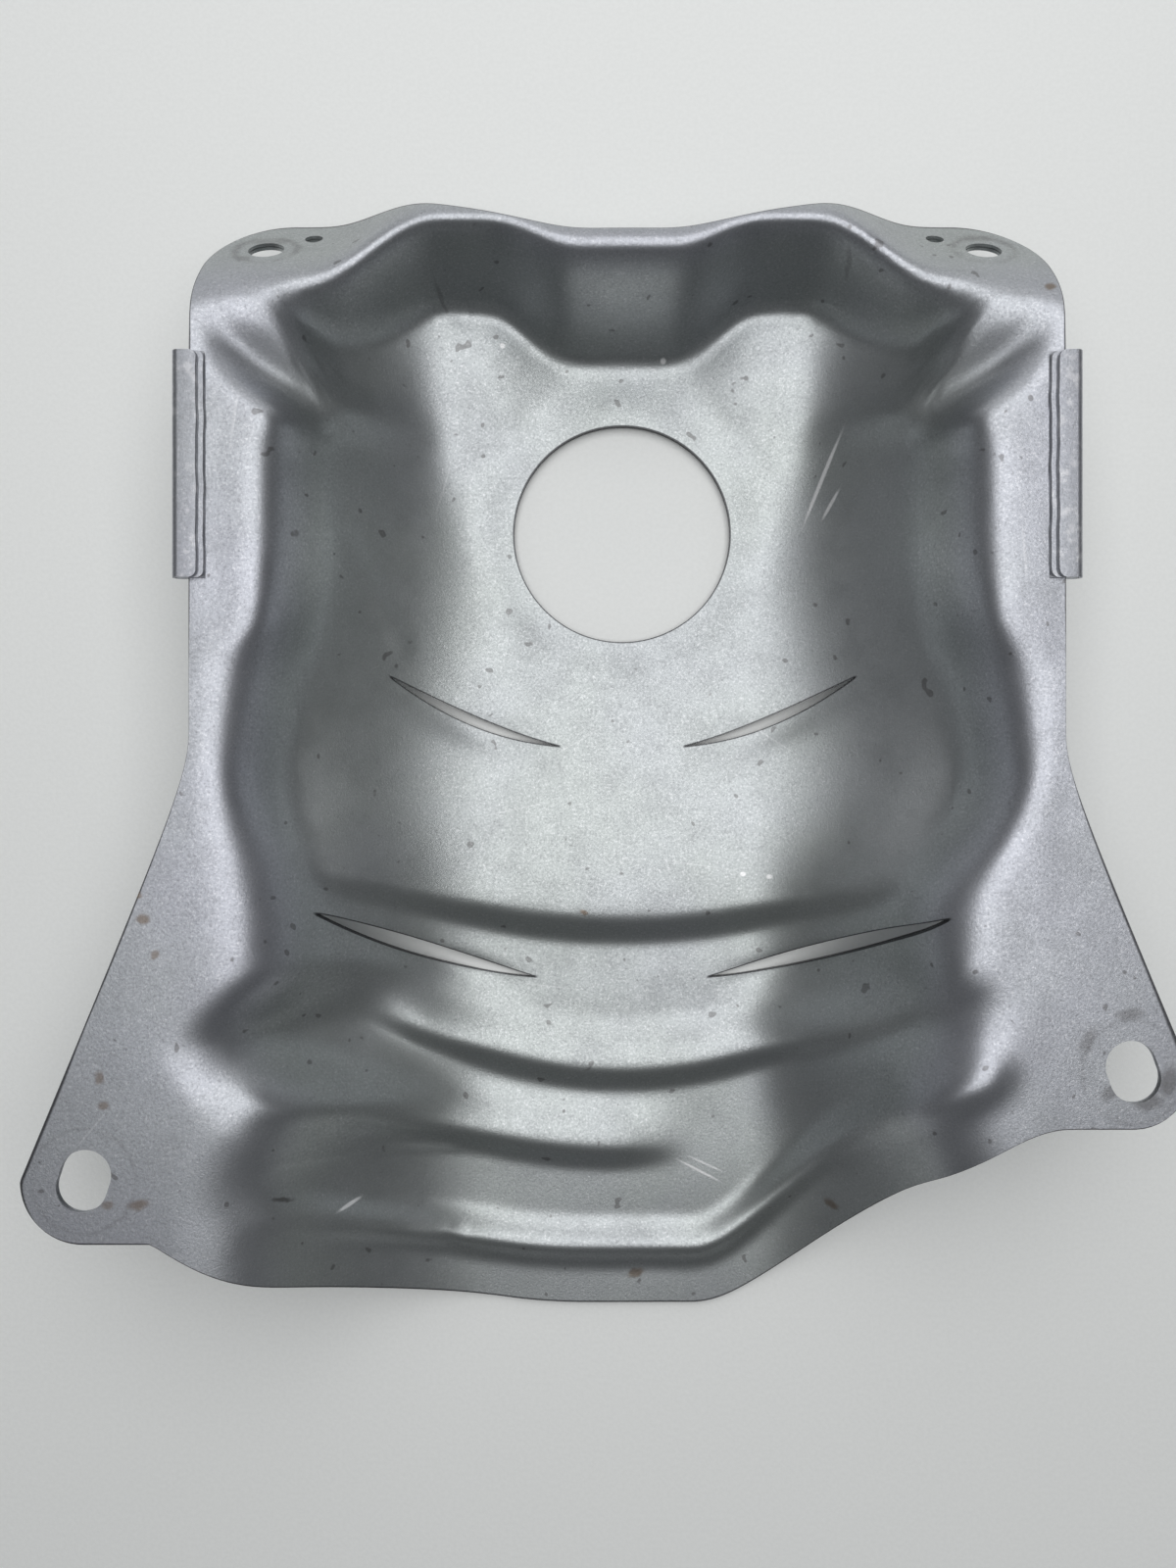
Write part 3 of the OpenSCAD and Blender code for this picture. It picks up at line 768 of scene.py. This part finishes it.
def make_sheet(name, top, bottom, out, layer, fold_z, back):
    """A sheet between two depths, whose tabs reach out, start at a layer, and fold back at a height."""
    sheet, rim = pressed_sheet(name, top, bottom)
    hems = [hem_tab(f"{name}_tab_{side}", side, out, layer, fold_z, back) for side in (-1, 1)]
    for tab in hems:
        recalc_normals(tab)
    boolean(sheet, hems, "UNION")
    boolean(sheet, make_cutters(), "DIFFERENCE")
    mark_rim(sheet, rim)
    finish_mesh(sheet)
    return sheet


# Materials

FLAT = 1000  # a mark's size in height, so large that height plays no part


class Nodes:
    """A short way to write node trees."""

    def __init__(self, material):
        material.use_nodes = True
        self.tree = material.node_tree
        self.tree.nodes.clear()

    def add(self, kind, inputs=None, **settings):
        node = self.tree.nodes.new(kind)
        for key, value in settings.items():
            setattr(node, key, value)
        for key, value in (inputs or {}).items():
            self.set(node.inputs[key], value)
        return node

    def set(self, socket, value):
        if isinstance(value, bpy.types.NodeSocket):
            self.tree.links.new(value, socket)
        else:
            socket.default_value = value

    def noise(self, vector, scale, detail=3.0, roughness=0.55):
        node = self.add("ShaderNodeTexNoise", {"Vector": vector, "Scale": scale, "Detail": detail,
                                               "Roughness": roughness})
        return node.outputs["Fac"]

    def math(self, operation, a, b=0.0):
        return self.add("ShaderNodeMath", {0: a, 1: b}, operation=operation).outputs[0]

    def span(self, value, low, high, to_low=0.0, to_high=1.0):
        limits = {"From Min": low, "From Max": high, "To Min": to_low, "To Max": to_high}
        node = self.add("ShaderNodeMapRange", {"Value": value, **limits}, interpolation_type="SMOOTHSTEP")
        return node.outputs["Result"]

    def blend(self, factor, a, b):
        node = self.add("ShaderNodeMix", data_type="RGBA", blend_type="MIX")
        self.set(node.inputs["Factor"], factor)
        self.set(node.inputs["A"], a)
        self.set(node.inputs["B"], b)
        return node.outputs["Result"]

    def reach(self, place, x, y, half_x, half_y, turn=0.0):
        """Distance from a point of the plan in shares of two half sizes, turned by an angle in degrees."""
        where = {"Location": (x * MM, y * MM, 0), "Rotation": (0, 0, math.radians(turn)),
                 "Scale": (half_x * MM, half_y * MM, FLAT)}
        mapped = self.add("ShaderNodeMapping", {"Vector": place, **where}, vector_type="TEXTURE")
        return self.add("ShaderNodeVectorMath", {0: mapped.outputs[0]}, operation="LENGTH").outputs["Value"]

    def spots(self, place, marks, soft=0.5):
        """Greatest of several elliptical marks (x, y, half_x, half_y, turn, strength)."""
        total = 0.0
        for x, y, half_x, half_y, turn, strength in marks:
            away = self.reach(place, x, y, half_x, half_y, turn)
            total = self.math("MAXIMUM", total, self.span(away, 1.0 + soft, 1.0 - soft, 0.0, strength))
        return total


# Marks on the hollow side: x, y, half sizes, turn and strength

STAINS = ((4, -216, 2.2, 1.2, 20, 0.75), (59, -192, 1.8, 1.1, -30, 0.7), (-122, -107, 1.6, 1.1, 10, 0.7),
          (-123, -101, 1.0, 0.8, 0, 0.6), (-119, -116, 1.2, 0.9, 40, 0.6), (-133, -147, 1.1, 1.6, 0, 0.6),
          (-132, -154, 1.2, 0.9, 15, 0.6), (-123, -179, 2.4, 1.2, 8, 0.65), (-131, -179, 1.4, 1.0, 0, 0.55),
          (108, 54, 1.5, 1.1, 30, 0.8), (-11, -110, 1.1, 0.6, -20, 0.8))
# Dirt marks, apart from the two thin marks along the lobe wrinkles at (-51, 63.5) and (59.5, 66), which are
# painted shade in the wrinkles' folds.
GRIME_AND_CREASE_SHADE = ((136.5, -148, 2.2, 3.8, -20, 0.6), (131.5, -153, 3.6, 2.0, 10, 0.55),
         (122, -150.5, 3.0, 1.6, 35, 0.5), (116, -137.5, 1.6, 3.4, -25, 0.45),
         (126.5, -131, 3.4, 1.6, 5, 0.5), (-90, -182, 2.2, 0.5, -22, 0.8), (-51, 63.5, 2.8, 0.55, -66, 0.4),
         (59.5, 66, 2.6, 0.5, -70, 0.3), (-96, 74, 5, 1.5, 0, 0.35), (96, 76, 5, 1.5, 0, 0.35),
         (-101, 66, 2, 1.2, 0, 0.35))
# Scuffs and scratches, apart from the two small round dots at (-34.5, 53.2) and (12, 50.3) on the end wall's
# rounded top, which are painted glints.
SCUFFS_AND_GLINTS = ((57.5, 15, 12.5, 0.5, 69, 0.75), (59.5, 7, 4.5, 0.45, 62, 0.7), (22.6, -186, 6.5, 0.35, -27, 0.75),
          (24.5, -184, 5.0, 0.3, -24, 0.6), (-75.4, -188.4, 2.6, 0.5, 20, 0.95),
          (34.8, -98.9, 0.8, 0.6, 0, 0.9), (42.2, -99.5, 0.8, 0.6, 0, 0.9), (-30, -80, 9, 0.2, 12, 0.16),
          (20, -96, 11, 0.2, -8, 0.14),
          (-12, -60, 8, 0.2, 30, 0.14), (44, -60, 7, 0.2, -35, 0.16), (-52, 12, 8, 0.25, 75, 0.15),
          (-22, -132, 9, 0.2, -6, 0.14), (-34.5, 53.2, 0.7, 0.7, 0, 0.9), (12, 50.3, 0.8, 0.7, 0, 0.9),
          (100, -14, 0.4, 6, 5, 0.16), (-99, 20, 0.35, 7, -8, 0.16), (-135, -160, 6, 0.25, 50, 0.2))
WASHERS = ((-96, 70, 8.2, 5.9, 0), (96, 70, 8.2, 5.9, 0))
SLOT_WASHERS = ((-137, -173, 13.2, 13.2, 0), (127.5, -145.5, 13.0, 13.0, 0))

STEEL_COOL = (0.398, 0.425, 0.42, 1)
STEEL_WARM = (0.42, 0.432, 0.476, 1)
STEEL_DULL = (0.27, 0.275, 0.29, 1)
STEEL_BRIGHT = (0.66, 0.66, 0.68, 1)
STAIN = (0.20, 0.15, 0.11, 1)
# Dark colour of soot, dirt and specks, also used for the painted shade along two lobe wrinkles
SOOT_AND_SHADE = (0.13, 0.125, 0.125, 1)
# Colour of the painted shade along the sheared edges
EDGE_SHADE = (0.06, 0.06, 0.065, 1)
# Pale colour of scuffs and hem wear, also used for the painted glints on the hollow side
WORN_AND_GLINT_INNER = (0.82, 0.82, 0.83, 1)
WORN_OUTER = (0.85, 0.85, 0.86, 1)
FLOOR_TINTS = (0.87, 0.885, 0.875, 1), (0.90, 0.915, 0.905, 1)

# Painted shade along the sheared edges: line width in millimetres and its soft ends, and how much of the
# colour it takes
EDGE_LINE = 0.3
EDGE_SOFT = (0.15, 0.1)
EDGE_SHADE_SHARE = 0.93

# Noise: scale, then detail and roughness where they aren't the usual ones
CLOUD = (16, 4)
PATCH = (95, 4, 0.65)
GRAIN = (1500, 3, 0.85)
SPECKS = (260, 1.0, 0.4)
HEM_WEAR_INNER = (330, 3)
HEM_WEAR_OUTER = (260, 3)
FLOOR_GRAIN = (900, 3)
SHAKE_SCALE = 420.0
SHAKE_BY = 1.6
WARM_Z = (0.032, 0.046)


def ring_mask(n, place, rings, width):
    """Thin rings that washers left."""
    total = 0.0
    for x, y, half_x, half_y, turn in rings:
        away = n.math("ABSOLUTE", n.math("SUBTRACT", n.reach(place, x, y, half_x, half_y, turn), 1.0))
        total = n.math("MAXIMUM", total, n.span(away, width, 0.0))
    return total


def shaken(n, place, size):
    """The same place moved about a little, so that marks get ragged edges."""
    noise = n.add("ShaderNodeTexNoise", {"Vector": place, "Scale": SHAKE_SCALE, "Detail": 3.0})
    colour = noise.outputs["Color"]
    centred = n.add("ShaderNodeVectorMath", {0: colour, 1: (0.5, 0.5, 0.5)}, operation="SUBTRACT").outputs[0]
    moved = n.add("ShaderNodeVectorMath", {0: centred, "Scale": size * MM}, operation="SCALE").outputs[0]
    return n.add("ShaderNodeVectorMath", {0: place, 1: moved}, operation="ADD").outputs[0]


def steel_base(n, place):
    """Colour and fine height of the aluminised sheet: cloudy, mottled and sparkling."""
    cloud = n.noise(place, *CLOUD)
    patch = n.noise(place, *PATCH)
    grain = n.noise(place, *GRAIN)
    height = n.span(n.add("ShaderNodeSeparateXYZ", {0: place}).outputs["Z"], *WARM_Z, 0, 0.65)
    warm = n.math("ADD", height, n.span(cloud, 0.35, 0.65, 0, 0.35))
    colour = n.blend(warm, STEEL_COOL, STEEL_WARM)
    colour = n.blend(n.span(patch, 0.42, 0.75, 0, 0.16), colour, STEEL_DULL)
    colour = n.blend(n.span(grain, 0.51, 0.68, 0, 0.6), colour, STEEL_DULL)
    colour = n.blend(n.span(grain, 0.47, 0.3, 0, 0.6), colour, STEEL_BRIGHT)
    return colour, patch, grain


def trim_shade(n):
    """1 on the trimmed outline's sheared edge, where shade is painted darker than the faces."""
    rim = n.add("ShaderNodeAttribute", attribute_name="rim").outputs["Fac"]
    return n.span(rim, 0.5, 0.8)


def slit_shade(n, xyz, y0, sag, end, length, width):
    """1 along the edge of a pair of slits, where shade is painted, from the same curve that cuts them."""
    x = n.math("MULTIPLY", n.math("ABSOLUTE", xyz.outputs["X"]), 1 / MM)
    y = n.math("MULTIPLY", xyz.outputs["Y"], 1 / MM)
    bow = n.math("MULTIPLY", n.math("POWER", n.math("DIVIDE", x, end), 2.0), sag)
    off = n.math("ABSOLUTE", n.math("SUBTRACT", y, n.math("ADD", bow, y0)))
    share = n.math("DIVIDE", n.math("SUBTRACT", end, x), length)
    turn = n.math("MULTIPLY", n.math("POWER", n.math("MAXIMUM", share, 0.0), SLIT_POWER), math.pi)
    wave = n.math("SINE", turn)
    past = n.math("SUBTRACT", off, n.math("MULTIPLY", wave, width / 2))
    along = n.math("MULTIPLY", n.span(share, -0.01, 0.01), n.span(share, 1.01, 0.99))
    return n.math("MULTIPLY", along, n.span(past, EDGE_LINE + EDGE_SOFT[0], EDGE_LINE - EDGE_SOFT[1]))


def edge_shade(n, place):
    """1 on all the sheared edges, where shade is painted: outline, sensor hole and slits."""
    xyz = n.add("ShaderNodeSeparateXYZ", {0: place})
    hole_r = SENSOR_D / 2 + EDGE_LINE
    hole = n.span(n.reach(place, 0, 0, 1, 1), hole_r + EDGE_SOFT[0], hole_r - EDGE_SOFT[1])
    upper = slit_shade(n, xyz, UPPER_SLIT_Y, UPPER_SLIT_SAG, UPPER_SLIT_END, UPPER_SLIT_LEN, UPPER_SLIT_W)
    lower = slit_shade(n, xyz, LOWER_SLIT_Y, LOWER_SLIT_SAG, LOWER_SLIT_END, LOWER_SLIT_LEN, LOWER_SLIT_W)
    cuts = n.math("MAXIMUM", hole, n.math("MAXIMUM", upper, lower))
    return n.math("MULTIPLY", n.math("MAXIMUM", cuts, trim_shade(n)), EDGE_SHADE_SHARE)


def hem_mask(n, place):
    """1 on the folded tabs."""
    xyz = n.add("ShaderNodeSeparateXYZ", {0: place})
    out = n.span(n.math("ABSOLUTE", xyz.outputs["X"]), (SIDE_HALF - 5.6) * MM, (SIDE_HALF - 4.6) * MM)
    high = n.span(xyz.outputs["Z"], (FLANGE_Z + 0.5) * MM, (FLANGE_Z + 0.9) * MM)
    return n.math("MULTIPLY", out, high)


def worn_steel(n, colour, patch, grain, bright_marks, bright_mark_metal):
    """The sheets' shader: a fine uneven height, and less metal at the bright marks, which are scuffs and, on
    the hollow side, also painted glints.
    """
    rough = n.math("ADD", n.span(patch, 0.3, 0.7, 0.36, 0.42), n.span(grain, 0.3, 0.7, -0.05, 0.06))
    height = n.add("ShaderNodeBump", {"Strength": 0.3, "Distance": 0.0002, "Height": grain})
    metal = n.span(bright_marks, 0.0, 1.0, 0.9, bright_mark_metal)
    shader = n.add("ShaderNodeBsdfPrincipled", {"Base Color": colour, "Metallic": metal, "Roughness": rough,
                                                "Normal": height.outputs["Normal"]})
    n.add("ShaderNodeOutputMaterial", {"Surface": shader.outputs[0]})


def inner_material():
    material = bpy.data.materials.new("inner_sheet")
    n = Nodes(material)
    place = n.add("ShaderNodeTexCoord").outputs["Object"]
    ragged = shaken(n, place, SHAKE_BY)
    colour, patch, grain = steel_base(n, place)
    # Painted shade along the sheared edges: outline, sensor hole and slits
    colour = n.blend(edge_shade(n, place), colour, EDGE_SHADE)
    washers = n.math("MAXIMUM", ring_mask(n, ragged, WASHERS, 0.22),
                     n.math("MULTIPLY", ring_mask(n, ragged, SLOT_WASHERS, 0.07), 0.5))
    colour = n.blend(n.math("MULTIPLY", washers, n.span(patch, 0.35, 0.6, 0.08, 0.4)), colour, SOOT_AND_SHADE)
    # Dirt, and painted shade along two lobe wrinkles
    colour = n.blend(n.spots(ragged, GRIME_AND_CREASE_SHADE), colour, SOOT_AND_SHADE)
    colour = n.blend(n.span(n.noise(place, *SPECKS), 0.735, 0.77, 0, 0.6), colour, SOOT_AND_SHADE)
    colour = n.blend(n.spots(ragged, STAINS), colour, STAIN)
    hem_wear = n.span(n.noise(place, *HEM_WEAR_INNER), 0.54, 0.7, 0, 0.3)
    # Bright marks: scuffs, hem wear and two painted glints
    bright_marks = n.math("MAXIMUM", n.spots(place, SCUFFS_AND_GLINTS, 0.4), n.math("MULTIPLY", hem_mask(n, place), hem_wear))
    colour = n.blend(bright_marks, colour, WORN_AND_GLINT_INNER)
    worn_steel(n, colour, patch, grain, bright_marks, 0.55)
    return material


def outer_material():
    material = bpy.data.materials.new("outer_sheet")
    n = Nodes(material)
    place = n.add("ShaderNodeTexCoord").outputs["Object"]
    colour, patch, grain = steel_base(n, place)
    # Painted shade along the sheared edges: outline, sensor hole and slits
    colour = n.blend(edge_shade(n, place), colour, EDGE_SHADE)
    hem_wear = n.span(n.noise(place, *HEM_WEAR_OUTER), 0.54, 0.7, 0, 0.35)
    bright_marks = n.math("MULTIPLY", hem_mask(n, place), hem_wear)
    colour = n.blend(bright_marks, colour, WORN_OUTER)
    worn_steel(n, colour, patch, grain, bright_marks, 0.5)
    return material


def floor_material():
    material = bpy.data.materials.new("floor")
    n = Nodes(material)
    place = n.add("ShaderNodeTexCoord").outputs["Object"]
    fine = n.noise(place, *FLOOR_GRAIN)
    colour = n.blend(n.span(fine, 0.3, 0.7), *FLOOR_TINTS)
    height = n.add("ShaderNodeBump", {"Strength": 0.15, "Distance": 0.0003, "Height": fine})
    shader = n.add("ShaderNodeBsdfPrincipled", {"Base Color": colour, "Roughness": 0.6,
                                                "Normal": height.outputs["Normal"]})
    n.add("ShaderNodeOutputMaterial", {"Surface": shader.outputs[0]})
    return material


# Stage

LAMP_PLACE = (0.04, 0.4, 0.95)
LAMP_SIZE = (1.05, 1.65)
LAMP_POWER = 10.4
WINDOW_PLACE = (0.0, 1.7, 0.55)
WINDOW_SIZE = (2.4, 1.0)
WINDOW_POWER = 6.0
WORLD_COLOUR = (0.9, 0.93, 0.95, 1)
WORLD_STRENGTH = 0.1
FLOOR_HALF = 2.0


def make_camera():
    data = bpy.data.cameras.new("camera")
    data.lens = LENS
    data.sensor_width = SENSOR
    data.clip_start = 0.01
    camera = bpy.data.objects.new("camera", data)
    camera.location = (CAMERA_X * MM, CAMERA_Y * MM, CAMERA_HEIGHT * MM)
    bpy.context.scene.collection.objects.link(camera)
    bpy.context.scene.camera = camera


def add_area(name, place, target, size, power):
    data = bpy.data.lights.new(name, "AREA")
    data.shape = "RECTANGLE"
    data.size, data.size_y = size
    data.energy = power
    lamp = bpy.data.objects.new(name, data)
    lamp.location = place
    lamp.rotation_euler = (Vector(target) - Vector(place)).to_track_quat("-Z", "Y").to_euler()
    bpy.context.scene.collection.objects.link(lamp)


def make_stage():
    half = FLOOR_HALF
    corners = [(-half, -half, 0), (half, -half, 0), (half, half, 0), (-half, half, 0)]
    floor = add_mesh("floor", corners, [[0, 1, 2, 3]])
    floor.data.materials.append(floor_material())
    add_area("overhead", LAMP_PLACE, (LAMP_PLACE[0], LAMP_PLACE[1], 0), LAMP_SIZE, LAMP_POWER)
    add_area("window", WINDOW_PLACE, (0, 0, 0), WINDOW_SIZE, WINDOW_POWER)
    world = bpy.data.worlds.new("world")
    bpy.context.scene.world = world
    world.use_nodes = True
    world.node_tree.nodes["Background"].inputs["Color"].default_value = WORLD_COLOUR
    world.node_tree.nodes["Background"].inputs["Strength"].default_value = WORLD_STRENGTH
    bpy.context.scene.view_settings.view_transform = "Standard"


def make_part():
    """The two sheets. Each tab's fold stands half a gap, or one and a half, above the flange."""
    inner = make_sheet("inner", 0, SHEET_T, HEM_OUT - SHEET_T - PLY_GAP, 0,
                       FLANGE_Z + SHEET_T + PLY_GAP / 2, HEM_W + HEM_SHOW - SHEET_T - PLY_GAP)
    outer = make_sheet("outer", SHEET_T + PLY_GAP, STACK_T, HEM_OUT, SHEET_T + PLY_GAP,
                       FLANGE_Z + 2 * SHEET_T + 1.5 * PLY_GAP, HEM_W)
    inner.data.materials.clear()
    outer.data.materials.clear()
    inner.data.materials.append(inner_material())
    outer.data.materials.append(outer_material())
    for piece, node in ((inner, "inner_sheet"), (outer, "outer_sheet")):
        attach(piece, "root")
        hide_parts(node)


make_camera()
make_stage()
make_part()
